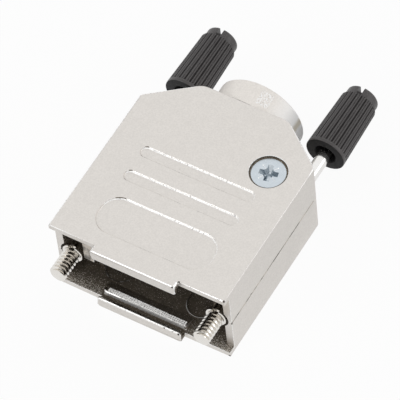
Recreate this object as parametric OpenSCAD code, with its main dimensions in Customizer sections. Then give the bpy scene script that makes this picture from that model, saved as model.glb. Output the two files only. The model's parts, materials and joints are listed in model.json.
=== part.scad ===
// Die-cast metal hood for a 9-way D-subminiature connector.
// Two half shells, alike but for one web, close round the connector's flange and its
// cable. One countersunk screw goes in from each side, and two long thumbscrews,
// held captive in side channels, fix the connector to its mate.
// Frame: X runs across the hood, Y from the connector end to the cable end, Z up.
// Y = 0 is the front end of the side walls. Z = 0 is the underside.

/* [Shells] */
// Width over the side walls
body_w = 30.4; // [30:0.1:38]
// Height over both half shells
body_h = 14.8; // [14.8:0.1:18]
// Length of the straight side walls
side_l = 26; // [25:0.5:34]
// Length of the sloping shoulders, measured along Y
shoulder_l = 5.9; // [5:0.1:7.5]
// Width of the rear end, between the shoulders
rear_w = 15; // [14.8:0.1:18]
// Thickness of the side, shoulder and rear walls
wall_t = 1.3; // [1.1:0.05:1.5]
// Thickness of the top and bottom plates
plate_t = 1.05; // [0.9:0.05:1.3]
// Radius of the corners where the side walls meet the shoulders
shoulder_r = 1; // [0.5:0.1:2]
// Radius of the corners where the shoulders meet the rear end
rear_r = 3; // [1:0.1:3.5]
// Depth of the rebate that locks one half shell into the other
rebate_h = 0.6; // [0.4:0.05:1]
// Play all round a lip in its rebate
rebate_gap = 0.1; // [0.05:0.05:0.2]

/* [Connector mouth] */
// How far the plates stand in front of the side walls
plate_lead = 1.3; // [1.2:0.05:2]
// Width of the clip on each plate that holds the flange
clip_w = 14.7; // [10:0.1:16]
// How far the clip stands in front of its plate
clip_lead = 1.2; // [0.8:0.1:2]
// Height of the clip, from the outside of its plate
clip_h = 2.2; // [1.6:0.05:2.3]
// Thickness of the clip's wall
clip_t = 0.5; // [0.4:0.05:0.7]
// Radius of the corners of the clip's face
clip_r = 0.5; // [0.2:0.05:0.8]
// Width of the slot between the clip and the rib, for the flange
flange_slot = 1.2; // [0.9:0.05:1.3]
// Width of the contact rib behind the flange
rib_w = 14.6; // [10:0.1:16]
// Length of the contact rib along Y
rib_l = 1; // [0.8:0.1:1.6]
// Height of the contact rib, from the outside of its plate
rib_h = 2.3; // [1.8:0.05:2.6]
// Length of the slope behind the contact rib
rib_slope = 1.4; // [0.8:0.1:1.6]

/* [Cable end] */
// Outer diameter of the round collar
collar_d = 14.7; // [13:0.1:14.7]
// Length of the collar behind the rear wall
collar_l = 3.9; // [2:0.1:8]
// Diameter of the cable entry
entry_d = 10.4; // [8:0.1:11.5]
// Width of the chamfer on the rim of the collar
collar_chamfer = 0.4; // [0.2:0.1:0.8]

/* [Outside recesses] */
// Depth of the recesses in the plates
recess_depth = 0.3; // [0.1:0.05:0.45]
// Distance of the large recess from the front end of the side walls
pad_y = 1.4; // [1:0.1:3]
// Length of the large recess along Y
pad_l = 6.8; // [6.5:0.1:8]
// Width of the large recess
pad_w = 19.7; // [12:0.1:20]
// Corner radius of the large recess
pad_r = 3; // [1:0.1:3.2]
// Width of each narrow recess along Y
groove_w = 2; // [1:0.1:3]
// Space between one recess and the next
groove_gap = 2.9; // [2:0.1:3]
// Number of narrow recesses
grooves = 2; // [1:1:2]

/* [Shell screws] */
// Least distance of the shell screws from the corners where the shoulders begin
screw_inset = 3.8; // [3:0.1:4.5]
// Thread diameter of the shell screws
screw_d = 3; // [2.5:0.5:3]
// Head diameter of the shell screws
screw_head_d = 5.5; // [5:0.1:5.6]
// How far the screw head lies below the plate's face
screw_sink = 0.3; // [0.2:0.05:0.5]
// Wall left round the thread of a shell screw
screw_post_wall = 1.4; // [1:0.1:1.6]
// Wall left between a shell screw and the thumbscrew beside it
screw_web = 0.2; // [0.2:0.05:0.6]

/* [Cable clamp] */
// Largest cable that the clamp takes
cable_d = 7.2; // [5:0.1:8.7]
// Depth of the clamp's feet below the joint between the shells
clamp_drop = 2.4; // [2.2:0.1:2.8]
// Thickness of the clamp's strip
clamp_t = 1; // [0.6:0.1:1]
// Width of the clamp's strip along Y
clamp_w = 3; // [2.4:0.1:3.2]
// Thread diameter of the clamp screws
clamp_screw_d = 2; // [1.6:0.4:2]
// Head diameter of the clamp screws
clamp_head_d = 3.8; // [3.2:0.1:3.8]
// Head height of the clamp screws
clamp_head_h = 1.5; // [1.2:0.1:1.6]

/* [Thumbscrews] */
// Distance between the thumbscrew axes, as on the connector's flange
jack_pitch = 24.99; // [24.8:0.01:25.2]
// Outer diameter of the screw thread
thread_d = 2.8; // [2.6:0.05:3]
// How far the threaded tip stands in front of the side walls
thread_lead = 4.65; // [4:0.05:6]
// Diameter of the plain shank
shank_d = 2.2; // [2:0.05:2.4]
// Outer diameter of the retaining ring
ring_d = 3.5; // [3.3:0.1:3.8]
// Thickness of the retaining ring
ring_t = 0.7; // [0.5:0.05:0.9]
// Distance from the tip of the thread to the retaining ring
ring_from_tip = 4.45; // [4:0.05:5]
// Depth of the ring's groove in the shank
ring_groove = 0.3; // [0.2:0.05:0.35]
// Radial and axial play of the ring in its groove
ring_play = 0.05; // [0.02:0.01:0.08]
// How far the thumbscrews can be pulled back from the position drawn
travel_back = 4.1; // [3:0.1:5]
// How far the thumbscrews can be pushed forward from the position drawn
travel_forward = 2.9; // [2:0.1:4]
// Outer diameter of the knobs
knob_d = 6.3; // [5:0.1:6.6]
// Length of the fluted part of the knobs
knob_l = 9.8; // [6:0.1:14]
// Diameter of the plain end of the knobs
knob_end_d = 5.5; // [4:0.1:5.6]
// Length of the plain end of the knobs
knob_end_l = 1.7; // [1:0.1:3]
// Number of flutes round each knob
flutes = 22; // [12:1:30]
// Width of the screwdriver slot
slot_w = 0.9; // [0.6:0.1:1.4]
// Depth of the screwdriver slot
slot_depth = 1.2; // [0.6:0.1:1.6]

/* [Hidden] */
$fn = 64;

over = 1;                                  // how far a cutter runs past a face
axis_z = body_h / 2;                       // height of the joint between the shells
jack_x = jack_pitch / 2;
rear_y = side_l + shoulder_l;
side_x = body_w / 2;
inner_x = side_x - wall_t;
collar_end = rear_y + collar_l;
clip_front = plate_lead + clip_lead;
rib_front = clip_front - clip_t - flange_slot;

// shoulders: how far they run across for each mm along Y, outside and inside
shoulder_run = (side_x - rear_w / 2) / shoulder_l;
shoulder_in = wall_t * norm([shoulder_run, 1]);

// side channels of the thumbscrews
ring_room = 0.35;                          // radial room round the retaining ring
shank_room = 0.15;                         // radial room round the shank
channel_r = ring_d / 2 + ring_room;
guide_r = shank_d / 2 + shank_room;
ring_front = ring_from_tip - thread_lead;
ring_back = ring_front + ring_t;
end_play = 0.1;                            // left between ring and stop when pulled back
stop_y = ring_back + travel_back + end_play;
stop_l = 1.4;                              // length of the stop behind a channel
web_t = 0.7;                               // thickness of the web beside a channel
web_bite = 0.05;                           // how far a channel cuts into its web
web_x = jack_x - channel_r - web_t + web_bite;
web_front = stop_y - 1.1;                  // the webs start this far in front of the stops
web_back = 4.8;                            // the webs end this far from the shoulders
web_end = side_l - web_back;
jack_groove_r = shank_d / 2 - ring_groove;
ring_gap = 0.9;                            // gap the retaining ring is sprung on through
ring_gap_turn = 50;
tip_chamfer = 0.35;                        // on the end of the thread

// knobs
front_play = 0.06;                         // left between knob and shoulder when pushed in
knob_reach = side_l + (side_x - jack_x + knob_d / 2) / shoulder_run;
knob_y = knob_reach + travel_forward + front_play;
knob_rim = 0.6;                            // plain rim in front of the flutes
knob_edge = 0.2;                           // chamfer on the ends of the fluted part
knob_end_edge = 0.3;                       // chamfer on the plain end
knob_mouth_r = 1.9;                        // mouth round the shank
knob_mouth_l = 1.6;
flute_depth = 0.55;                        // flute radius, as a share of half its pitch

// cable clamp
clamp_gap = 0.2;                           // left between clamp screws and cable arch
clamp_pitch = cable_d + 2 * clamp_t + clamp_head_d + 2 * clamp_gap;
clamp_post_h = axis_z - clamp_drop;
clamp_post_r = clamp_screw_d / 2 + 0.95;
clamp_foot_x = clamp_pitch / 2 + clamp_post_r;
clamp_room = 0.35;                         // left between the clamp's feet and the walls
clamp_back = min(side_l + (side_x - shoulder_in - clamp_foot_x - clamp_room) / shoulder_run,
                 rear_y - wall_t - clamp_room);
clamp_y = clamp_back - clamp_w / 2;
clamp_tip_room = 0.5;                      // left under the tips of the clamp screws
clamp_screw_l = clamp_post_h + clamp_t - plate_t - clamp_tip_room;
clamp_slot_w = 0.7;                        // slot in the clamp screws' heads
clamp_slot_depth = 0.8;

// shell screws
thread_fit = 0.03;                         // radial room of a thread in its hole
screw_room = 0.15;                         // radial room of a screw in a plain hole
head_room = 0.25;                          // radial room above a sunk head
head_wall = 0.7;                           // wall left round a sunk head
tapped_post_r = screw_d / 2 + screw_post_wall;
plain_post_r = screw_head_d / 2 + head_wall;
screw_x = jack_x - guide_r - screw_d / 2 - screw_room - screw_web;
screw_y = min(side_l - screw_inset, clamp_y - clamp_w / 2 - clamp_room - plain_post_r);
sink_r = screw_head_d / 2 + head_room;
tapped_floor = plate_t + 1.15;             // bottom of the tapped hole
screw_tip_room = 0.3;                      // left under the tips of the shell screws
screw_l = body_h - screw_sink - tapped_floor - screw_tip_room;
screw_end = 0.3;                           // chamfer on the end of the thread
cross_w = 0.75;                            // cross recess in the head: arm, span, depth
cross_l = 2.9;
cross_depth = 1.1;
cross_turn = 13;

// marks of the ejector pins on the inside of each plate
ejector_r = 2.45;
ejector_gap = 0.35;                        // left between a mark and the rib or the web
ejector_x = web_x - ejector_r - ejector_gap / 2;
ejector_y = rib_l + rib_slope - rib_front + ejector_gap + ejector_r;
ejector_depth = 0.12;

joint_chamfer = 0.15;                      // on the outer edges where the shells meet

zinc = [0.86, 0.85, 0.83];
plated_steel = [0.78, 0.82, 0.86];
bright_steel = [0.90, 0.90, 0.90];
black_plastic = [0.22, 0.21, 0.21];

// Outline of a half shell behind its front end, counter-clockwise from the front
// left corner, and the radius of each of its corners.
outline = [[-side_x, 0], [side_x, 0], [side_x, side_l], [rear_w / 2, rear_y],
           [-rear_w / 2, rear_y], [-side_x, side_l]];
corner_radii = [0, 0, shoulder_r, rear_r, rear_r, shoulder_r];

function unit(v) = v / norm(v);
function turn_left(v) = [-v.y, v.x];
function at(list, i) = list[(i + len(list)) % len(list)];

// Where the line from a along u meets the line from b along v
function meet(a, u, b, v) = a + u * ((b - a) * turn_left(v)) / (u * turn_left(v));

// A convex outline with every side moved inwards by t
function inset(pts, t) = [
    for (i = [0 : len(pts) - 1])
        let (u = unit(pts[i] - at(pts, i - 1)), v = unit(at(pts, i + 1) - pts[i]))
            meet(pts[i] + turn_left(u) * t, u, pts[i] + turn_left(v) * t, v)
];

// What a rounded corner of radius r takes off the corner b between a and c
module corner_waste(a, b, c, r) {
    u = unit(a - b);
    v = unit(c - b);
    half = acos(u * v) / 2;
    centre = b + unit(u + v) * r / sin(half);
    difference() {
        polygon([b + u * r / tan(half), centre, b + v * r / tan(half), b - unit(u + v)]);
        translate(centre) circle(r);
    }
}

module rounded_polygon(pts, radii) {
    difference() {
        polygon(pts);
        for (i = [0 : len(pts) - 1])
            if (radii[i] > 0) corner_waste(at(pts, i - 1), pts[i], at(pts, i + 1), radii[i]);
    }
}

module rounded_slab(w, l, r, h) {
    linear_extrude(h) union() {
        square([w - 2 * r, l], center = true);
        square([w, l - 2 * r], center = true);
        for (x = [-1, 1], y = [-1, 1])
            translate([x * (w / 2 - r), y * (l / 2 - r)]) circle(r);
    }
}

// A cylinder lying along +Y from the point at, with radius r
module along_y(at, r, l) {
    translate(at) rotate([-90, 0, 0]) cylinder(r = r, h = l);
}

// --- half shell, drawn as the lower one -------------------------------------

module shell_plate() {
    linear_extrude(plate_t) union() {
        rounded_polygon(outline, corner_radii);
        translate([-side_x, -plate_lead]) square([body_w, plate_lead + over]);
    }
}

module shell_walls() {
    inside = inset(outline, wall_t);
    linear_extrude(axis_z) difference() {
        rounded_polygon(outline, corner_radii);
        polygon(inside);
        translate([-inner_x, -over]) square([2 * inner_x, wall_t + 2 * over]);
    }
}

// Clip in front of the flange: a tab of the plate with its end turned in
module flange_clip() {
    difference() {
        translate([0, -plate_lead, clip_h / 2]) rotate([90, 0, 0])
            rounded_slab(clip_w, clip_h, clip_r, clip_lead);
        translate([-clip_w, clip_t - clip_front, plate_t])
            cube([2 * clip_w, clip_lead, clip_h]);
    }
}

// Knurled contact rib behind the flange, with rounded ends and a sloping back
module contact_rib() {
    translate([0, rib_l / 2 - rib_front, 0]) rounded_slab(rib_w, rib_l, 0.45 * rib_l, rib_h);
    translate([-rib_w / 2, -rib_front, 0]) rotate([90, 0, 90]) linear_extrude(rib_w)
        polygon([[rib_l / 2, 0], [rib_l / 2, rib_h], [rib_l, rib_h],
                 [rib_l + rib_slope, plate_t], [rib_l + rib_slope, 0]]);
}

// Thin webs and stops that make the thumbscrew channels; the right web starts at front_y
module channel_walls(front_y) {
    for (side = [-1, 1]) {
        web_start = side > 0 ? front_y : web_front;
        translate([side > 0 ? web_x : -web_x - web_t, web_start, 0])
            cube([web_t, web_end - web_start, axis_z]);
        translate([side > 0 ? web_x : -side_x + wall_t / 2, stop_y, 0])
            cube([side_x - wall_t / 2 - web_x, stop_l, axis_z]);
    }
}

module collar() {
    profile = [[0, rear_y - wall_t], [collar_d / 2, rear_y - wall_t],
               [collar_d / 2, collar_end - collar_chamfer],
               [collar_d / 2 - collar_chamfer, collar_end], [0, collar_end]];
    intersection() {
        translate([0, 0, axis_z]) rotate([-90, 0, 0]) rotate_extrude() polygon(profile);
        translate([-collar_d, 0, 0]) cube([2 * collar_d, collar_end + over, axis_z]);
    }
}

module posts() {
    translate([screw_x, screw_y, 0]) cylinder(r = tapped_post_r, h = axis_z);
    translate([-screw_x, screw_y, 0]) cylinder(r = plain_post_r, h = axis_z);
    for (side = [-1, 1])
        translate([side * clamp_pitch / 2, clamp_y, 0])
            cylinder(r = clamp_post_r, h = clamp_post_h);
}

// Countersunk hole from below on the left, tapped hole from above on the right
module screw_holes() {
    translate([-screw_x, screw_y, 0]) {
        translate([0, 0, -over]) cylinder(r = screw_d / 2 + screw_room, h = axis_z + 2 * over);
        translate([0, 0, -over]) cylinder(r = sink_r, h = over + screw_sink);
        translate([0, 0, screw_sink])
            cylinder(r1 = screw_head_d / 2 + thread_fit, r2 = screw_d / 2 + thread_fit,
                     h = (screw_head_d - screw_d) / 2);
    }
    translate([screw_x, screw_y, tapped_floor])
        cylinder(r = screw_d / 2 + thread_fit, h = axis_z);
    for (side = [-1, 1])
        translate([side * clamp_pitch / 2, clamp_y, plate_t])
            cylinder(r = clamp_screw_d / 2 + thread_fit, h = axis_z);
}

module thumbscrew_channels() {
    for (side = [-1, 1]) {
        along_y([side * jack_x, -over, axis_z], channel_r, stop_y + over);
        along_y([side * jack_x, 0, axis_z], guide_r, rear_y);
    }
}

// Shallow recesses in the outside of the plate
module recesses() {
    translate([0, pad_y + pad_l / 2, -over]) rounded_slab(pad_w, pad_l, pad_r, over + recess_depth);
    for (i = [1 : grooves])
        translate([0, pad_y + pad_l + i * (groove_gap + groove_w) - groove_w / 2, -over])
            rounded_slab(pad_w, groove_w, groove_w / 2 - 0.01, over + recess_depth);
}

module ejector_marks() {
    for (side = [-1, 1])
        translate([side * ejector_x, ejector_y, plate_t - ejector_depth])
            cylinder(r = ejector_r, h = plate_t);
}

// Length along the side walls that carries the lip and the rebate
rebate_start = stop_y + stop_l + wall_t / 2;
rebate_l = side_l - shoulder_r - rebate_start;
rebate_w = wall_t / 2;

module lip() {
    translate([inner_x, rebate_start + rebate_gap, axis_z - over])
        cube([rebate_w - rebate_gap, rebate_l - 2 * rebate_gap, over + rebate_h - rebate_gap]);
}

module rebate() {
    translate([-inner_x - rebate_w, rebate_start, axis_z - rebate_h])
        cube([rebate_w + over, rebate_l, rebate_h + over]);
}

// Breaks the outer edge at the joint along the side from a to b
module joint_edge(a, b) {
    translate([a.x, a.y, axis_z]) rotate([0, 0, atan2(b.y - a.y, b.x - a.x)]) rotate([45, 0, 0])
        translate([0, -joint_chamfer / sqrt(2), -joint_chamfer / sqrt(2)])
            cube([norm(b - a), joint_chamfer * sqrt(2), joint_chamfer * sqrt(2)]);
}

// front_y is where the web on the right starts
module half_shell(front_y) {
    difference() {
        union() {
            shell_plate();
            shell_walls();
            flange_clip();
            contact_rib();
            channel_walls(front_y);
            collar();
            posts();
        }
        thumbscrew_channels();
        screw_holes();
        recesses();
        ejector_marks();
        rebate();
        along_y([0, rear_y - wall_t - over, axis_z], entry_d / 2, wall_t + collar_l + 2 * over);
        joint_edge([side_x, 0], [side_x, side_l - shoulder_r]);
        joint_edge([-side_x, side_l - shoulder_r], [-side_x, 0]);
    }
    lip();
}

module base_shell() {
    color(zinc) half_shell(web_front);
}

// The same shape turned over about the hood's long axis, with one web that reaches the front
module cover_shell() {
    color(zinc) translate([0, 0, body_h]) rotate([0, 180, 0]) half_shell(0);
}

// --- fasteners ---------------------------------------------------------------

// Countersunk screw with a cross recess, head up, top of the head at z = 0
module countersunk_screw() {
    head_r = screw_head_d / 2;
    thread_r = screw_d / 2;
    difference() {
        rotate_extrude() polygon([[0, 0], [head_r, 0], [thread_r, thread_r - head_r],
                                  [thread_r, screw_end - screw_l],
                                  [thread_r - screw_end, -screw_l], [0, -screw_l]]);
        for (turn = [0, 90])
            rotate([0, 0, turn + cross_turn]) translate([-cross_l / 2, -cross_w / 2, -cross_depth])
                cube([cross_l, cross_w, cross_depth + over]);
    }
}

module cover_screw() {
    color(plated_steel) translate([screw_x, screw_y, body_h - screw_sink]) countersunk_screw();
}

module base_screw() {
    color(plated_steel) translate([-screw_x, screw_y, screw_sink]) rotate([0, 180, 0]) countersunk_screw();
}

// Pan-head screw through the clamp into its post
module clamp_screw(side) {
    seat = clamp_post_h + clamp_t;
    color(plated_steel) translate([side * clamp_pitch / 2, clamp_y, seat]) difference() {
        union() {
            cylinder(d = clamp_head_d, h = clamp_head_h);
            translate([0, 0, -clamp_screw_l])
                cylinder(d = clamp_screw_d, h = clamp_screw_l + clamp_head_h / 2);
        }
        translate([-clamp_head_d, -clamp_slot_w / 2, clamp_head_h - clamp_slot_depth])
            cube([2 * clamp_head_d, clamp_slot_w, clamp_slot_depth + over]);
    }
}

module left_clamp_screw() {
    clamp_screw(-1);
}

module right_clamp_screw() {
    clamp_screw(1);
}

// Strip bent over the cable, with a foot on each post
module cable_clamp() {
    arch_r = cable_d / 2;
    color(plated_steel) translate([0, clamp_y - clamp_w / 2, 0]) difference() {
        union() {
            translate([-clamp_foot_x, 0, clamp_post_h]) cube([2 * clamp_foot_x, clamp_w, clamp_t]);
            translate([-arch_r - clamp_t, 0, clamp_post_h])
                cube([2 * (arch_r + clamp_t), clamp_w, axis_z - clamp_post_h]);
            along_y([0, 0, axis_z], arch_r + clamp_t, clamp_w);
        }
        along_y([0, -over, axis_z], arch_r, clamp_w + 2 * over);
        translate([-arch_r, -over, 0]) cube([2 * arch_r, clamp_w + 2 * over, axis_z]);
        translate([-clamp_foot_x, -over, -over])
            cube([2 * clamp_foot_x, clamp_w + 2 * over, clamp_post_h + over]);
        for (side = [-1, 1])
            translate([side * clamp_pitch / 2, clamp_w / 2, 0])
                cylinder(r = clamp_screw_d / 2 + screw_room, h = body_h);
    }
}

// --- thumbscrews -------------------------------------------------------------

// Turned pin: threaded tip, groove for the ring, plain shank, knurled tail in the knob
module jackscrew(side) {
    tip = -thread_lead;
    tail = knob_y + knob_l;
    groove_start = ring_front - ring_play;
    groove_end = ring_back + ring_play;
    profile = [[0, tip], [thread_d / 2 - tip_chamfer, tip], [thread_d / 2, tip + tip_chamfer],
               [thread_d / 2, groove_start], [jack_groove_r, groove_start],
               [jack_groove_r, groove_end], [shank_d / 2, groove_end],
               [shank_d / 2, tail], [0, tail]];
    color(bright_steel) translate([side * jack_x, 0, axis_z]) rotate([-90, 0, 0])
        rotate_extrude() polygon(profile);
}

module left_jackscrew() {
    jackscrew(-1);
}

module right_jackscrew() {
    jackscrew(1);
}

// Snap ring in the pin's groove, with the gap it is sprung on through
module retaining_ring(side) {
    bore_r = jack_groove_r + ring_play;
    color(bright_steel) translate([side * jack_x, ring_front, axis_z]) rotate([0, -ring_gap_turn, 0])
        difference() {
            rotate([-90, 0, 0]) cylinder(d = ring_d, h = ring_t);
            translate([0, -over, 0]) rotate([-90, 0, 0]) cylinder(r = bore_r, h = ring_t + 2 * over);
            translate([0, -over, -ring_gap / 2]) cube([ring_d, ring_t + 2 * over, ring_gap]);
        }
}

module left_retaining_ring() {
    retaining_ring(-1);
}

module right_retaining_ring() {
    retaining_ring(1);
}

// Moulded knob: mouth round the shank, fluted grip, plain end with a driver slot
module knob(side) {
    flute_r = knob_d / 2 * sin(180 / flutes) * flute_depth;
    grip_r = knob_d / 2;
    end_r = knob_end_d / 2;
    back = knob_l + knob_end_l;
    profile = [[0, 0], [grip_r - knob_edge, 0], [grip_r, knob_edge], [grip_r, knob_l - knob_edge],
               [grip_r - knob_edge, knob_l], [end_r, knob_l], [end_r, back - knob_end_edge],
               [end_r - knob_end_edge, back], [0, back]];
    color(black_plastic) translate([side * jack_x, knob_y, axis_z]) rotate([-90, 0, 0])
        difference() {
            rotate_extrude() polygon(profile);
            for (i = [0 : flutes - 1])
                rotate([0, 0, i * 360 / flutes]) translate([grip_r, 0, knob_rim])
                    cylinder(r = flute_r, h = knob_l, $fn = 24);
            translate([0, 0, -over]) cylinder(d = shank_d, h = knob_l + over);
            translate([0, 0, -over]) cylinder(r = knob_mouth_r, h = knob_mouth_l + over);
            translate([-slot_w / 2, -knob_d, back - slot_depth])
                cube([slot_w, 2 * knob_d, slot_depth + over]);
        }
}

module left_knob() {
    knob(-1);
}

module right_knob() {
    knob(1);
}

base_shell();
cover_shell();
cover_screw();
base_screw();
cable_clamp();
left_clamp_screw();
right_clamp_screw();
left_retaining_ring();
right_retaining_ring();
left_jackscrew();
right_jackscrew();
left_knob();
right_knob();
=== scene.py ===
"""Finished look of a die-cast metal hood for a 9-way D-subminiature connector."""

import json
import math

import bmesh
import bpy
from mathutils import Matrix, Vector

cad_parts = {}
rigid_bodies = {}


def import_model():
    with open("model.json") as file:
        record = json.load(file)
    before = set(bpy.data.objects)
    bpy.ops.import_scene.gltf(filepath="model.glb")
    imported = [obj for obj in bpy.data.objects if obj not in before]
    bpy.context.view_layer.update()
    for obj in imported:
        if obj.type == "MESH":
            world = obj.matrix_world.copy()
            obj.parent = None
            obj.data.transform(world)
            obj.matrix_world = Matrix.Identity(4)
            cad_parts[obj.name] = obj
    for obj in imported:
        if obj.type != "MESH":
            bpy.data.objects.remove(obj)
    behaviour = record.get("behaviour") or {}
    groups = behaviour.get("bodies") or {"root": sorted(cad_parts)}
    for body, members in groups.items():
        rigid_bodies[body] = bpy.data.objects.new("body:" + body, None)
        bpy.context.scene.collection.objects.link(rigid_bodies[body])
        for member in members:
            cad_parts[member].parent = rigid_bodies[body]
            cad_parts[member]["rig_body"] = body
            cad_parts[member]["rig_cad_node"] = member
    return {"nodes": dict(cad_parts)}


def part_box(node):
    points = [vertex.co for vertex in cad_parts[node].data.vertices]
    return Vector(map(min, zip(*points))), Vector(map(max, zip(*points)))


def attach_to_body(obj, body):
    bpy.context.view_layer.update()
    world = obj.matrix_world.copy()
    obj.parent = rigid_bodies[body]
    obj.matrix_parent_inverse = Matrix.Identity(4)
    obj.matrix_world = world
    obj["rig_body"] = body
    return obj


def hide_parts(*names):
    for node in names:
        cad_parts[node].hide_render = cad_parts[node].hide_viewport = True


bl_info = {
    "name": "D-sub Hood",
    "version": (1, 0, 0),
    "blender": (4, 5, 0),
    "location": "View3D > Sidebar > Hood",
    "description": "Models the die-cast hood with its captive thumbscrews",
    "category": "Object",
}

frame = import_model()

MM = 0.001
WELD = 2e-7  # vertices nearer than this are merged
NEAR = 0.003 * MM  # how close to a plane an edge counts as lying on it
TURN_STEPS = 56  # steps of a thread or a ring round its axis

# Places and radii taken from the CAD, in metres
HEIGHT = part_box("cover_shell")[1].z
AXIS_Z = HEIGHT / 2
CAST_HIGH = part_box("base_shell")[1]
PIN_LOW, PIN_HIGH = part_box("right_jackscrew")
TIP, TAIL = PIN_LOW.y, PIN_HIGH.y
JACK_X = (PIN_LOW.x + PIN_HIGH.x) / 2
THREAD_R = (PIN_HIGH.x - PIN_LOW.x) / 2
RING_LOW, RING_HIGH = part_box("right_retaining_ring")
KNOB_LOW, KNOB_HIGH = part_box("right_knob")
KNOB_R = (KNOB_HIGH.x - KNOB_LOW.x) / 2
HEAD_LOW, HEAD_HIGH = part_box("cover_screw")
HEAD_R = (HEAD_HIGH.x - HEAD_LOW.x) / 2
SCREW_X = (HEAD_LOW.x + HEAD_HIGH.x) / 2
SCREW_Y = (HEAD_LOW.y + HEAD_HIGH.y) / 2
TO_LEFT = Matrix.Translation((-2 * JACK_X, 0, 0))
TURN_OVER = Matrix.Translation((0, 0, HEIGHT)) @ Matrix.Rotation(math.pi, 4, "Y")

# Both shells share the drawing of the lower one, whose outer face is at z = 0
RIB_TOP = 2.3 * MM
RIB_END = 7.3 * MM
RIB_FRONT, RIB_BACK = -0.8 * MM, 0.2 * MM
CLIP_FRONT = -2.49 * MM  # only the clip's front edges lie before it
RECESS = 0.3 * MM  # depth of the recesses in the outer face
PLATE = 1.05 * MM  # inner face of the plate at the mouth
MARK_X, MARK_Y, MARK_R = 7.115 * MM, 4.4 * MM, 2.45 * MM  # ejector marks

# Skins of a shell, a knob and a screw, in the order in which they are added
SATIN, CAVITY_SHADE, PAINTED_HIGHLIGHT, JOINT_AND_SHADE, BURR, COLLAR, RIB_FACE, KNURL = range(8)
PLASTIC, MOUTH, FLUTE = range(3)
ZINC, CROSS, TICK = range(3)

# Places where the plating is chipped: x, y, z and radius, in mm
CHIPS = (
    (7.45, -1.3, 14.75, 0.22), (6.95, -2.45, 14.6, 0.22), (15.05, -1.2, 14.7, 0.24),
    (15.2, 0.1, 7.2, 0.24), (15.05, -1.2, 0.3, 0.24), (15.2, 5.76, 7.5, 0.2),
    (4.5, -2.46, 2.0, 0.17), (5.9, -2.46, 2.0, 0.12), (6.95, -2.46, 1.95, 0.24),
    (15.2, 4.6, 7.45, 0.14), (-14.2, 0.0, 7.5, 0.3), (-14.55, 0.0, 7.2, 0.16),
)

# Colours of wear and pits, and the painted shade on the ejector burr
BARE_METAL = (0.05, 0.04, 0.035)
PIT = (0.22, 0.20, 0.17)
BURR_SHADE = (0.03, 0.026, 0.02)

# Places and directions on the stage, in metres
LOOK_AT = (0, 0.015, 0.007)  # where the lamps point
CAMERA_AT = (0.205292, -0.269546, 0.502168)
CAMERA_FORWARD = (-0.3382441, 0.47198194, -0.81414002)
CAMERA_RIGHT = (0.86368251, 0.49923482, -0.06940538)


# --- sizes and colours --------------------------------------------------------


def length(name, text, value):
    return bpy.props.FloatProperty(
        name=name, description=text, default=value, min=0.0, precision=5, unit="LENGTH"
    )


def colour(name, text, value):
    return bpy.props.FloatVectorProperty(
        name=name, description=text, default=value, size=3, min=0.0, max=1.0, subtype="COLOR"
    )


class HoodCasting(bpy.types.PropertyGroup):
    edge: length("Outer edges", "Radius along the outline of the plates", 0.16 * MM)
    fine_edge: length("Fine edges", "Radius of the small edges at the mouth", 0.06 * MM)
    recess_fillet: length("Recess fillet", "Radius at the foot of a recess wall", 0.22 * MM)
    knurl_pitch: length("Knurl pitch", "Distance between the points of the knurl", 0.32 * MM)
    knurl_height: length("Knurl height", "Height of the points of the knurl", 0.13 * MM)
    rib_drop: length("Rib drop", "How far the points stay below the rib's full height", 0.22 * MM)
    web_width: length("Web width", "Width of the web at the mouth of the cover", 1.95 * MM)
    burr: length("Burr", "Height of the burr round an ejector mark", 0.07 * MM)
    collar_end: length("Collar end", "Length of the rim beyond the collar", 0.45 * MM)
    nickel: colour("Nickel", "Satin nickel plating", (0.735, 0.705, 0.67))
    # painted highlight along the edges, also the pale tone of the burr and the rib's front
    edges: colour("Edges", "Nickel rubbed bright along the edges", (0.93, 0.92, 0.905))
    joint: colour("Joint", "Shadowed line of the joint", (0.25, 0.23, 0.205))
    # dark plating inside, darkened further as painted shade
    inside: colour("Inside", "Thin dark plating inside", (0.13, 0.108, 0.082))


class HoodThreads(bpy.types.PropertyGroup):
    pitch: length("Pitch", "Pitch of the jackscrew thread, 40 to the inch", 0.635 * MM)
    depth: length("Depth", "Depth of the thread", 0.36 * MM)
    tip_chamfer: length("Tip chamfer", "Chamfer on the tip of the thread", 0.35 * MM)
    steel: colour("Steel", "Bright nickel plating on steel", (0.86, 0.85, 0.83))


class HoodKnobs(bpy.types.PropertyGroup):
    flutes: bpy.props.IntProperty(
        name="Flutes", description="Flutes round each knob", default=22, min=8, max=40
    )
    flute_depth: length("Flute depth", "Depth of a flute", 0.2 * MM)
    rim: length("Rim", "Plain rim in front of the flutes", 0.6 * MM)
    end_radius: length("End radius", "Radius of the plain end", 2.66 * MM)
    end_length: length("End length", "Length of the plain end", 1.7 * MM)
    end_round: length("End rounding", "Rounding of the plain end's edge", 0.55 * MM)
    draft: length("Draft", "Taper of the fluted part's radius, front to back", 0.31 * MM)
    tail: length("Tail", "How far the plain end stands past the CAD knob", 0.9 * MM)
    slot_width: length("Slot width", "Width of the screwdriver slot", 0.9 * MM)
    slot_depth: length("Slot depth", "Depth of the screwdriver slot", 1.2 * MM)
    plastic: colour("Plastic", "Black moulded plastic", (0.066, 0.06, 0.06))
    # dark on the front face, and painted shade in the mouth
    mouth: colour("Mouth", "Dull plastic of the front face and the mouth", (0.016, 0.016, 0.017))


class HoodScrews(bpy.types.PropertyGroup):
    shank: length("Shank radius", "Radius of the shell screws' thread", 1.5 * MM)
    head_gap: length("Head gap", "Gap round the head, in its seat", 0.03 * MM)
    recess_turn: bpy.props.FloatProperty(
        name="Recess turn", description="Turn of the cross recess", default=math.radians(13),
        subtype="ANGLE",
    )
    recess_span: length("Recess span", "Span of the cross recess", 3.1 * MM)
    arm_width: length("Arm width", "Width of an arm of the recess", 0.9 * MM)
    zinc: colour("Zinc", "Bluish zinc plating", (0.60, 0.655, 0.70))


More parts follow.
